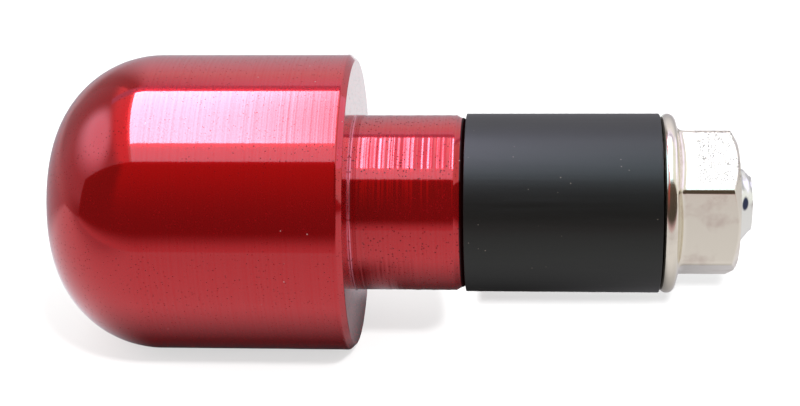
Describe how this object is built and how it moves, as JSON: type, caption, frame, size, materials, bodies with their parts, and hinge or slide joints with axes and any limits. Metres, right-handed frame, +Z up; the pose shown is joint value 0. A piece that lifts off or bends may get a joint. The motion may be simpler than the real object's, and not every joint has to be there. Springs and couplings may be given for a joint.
{
  "type": "bar end weight",
  "caption": "Round-nosed red anodised bar end weight with a spigot and a rubber sleeve that a through screw and flange nut squeeze to grip the bore of a handlebar.",
  "frame": {"origin": "on the axis, in the plane of the flat seat that meets the end of the bar", "axes": "+X along the axis into the bar, so the nose of the weight is at -X; +Z up, with a corner of the nut's hexagon at +Z"},
  "size_m": [0.0674, 0.029, 0.029],
  "materials": {
    "anodised_red": "bright red anodised over fine turning marks",
    "black_rubber": "satin extruded rubber",
    "nickel_plate": "bright nickel plated steel",
    "zinc_plate": "bright zinc plated steel"
  },
  "bodies": {
    "weight": {"weight_body": "anodised_red", "rubber_sleeve": "black_rubber"},
    "screw": {"socket_screw": "zinc_plate"},
    "nut": {"flange_nut": "nickel_plate"}
  },
  "joints": [
    {"name": "screw_turn", "type": "hinge", "parent": "weight", "child": "screw", "pos_m": [0, 0, 0], "axis": [1, 0, 0], "range_deg": [0, 720]},
    {"name": "nut_draw", "type": "slide", "parent": "weight", "child": "nut", "axis": [-1, 0, 0], "range_m": [0, 0.0025], "deforming": ["rubber_sleeve"]}
  ],
  "couplings": [
    {"joint": "screw_turn", "follows": "nut_draw", "rad_per_m": 5026.5}
  ]
}
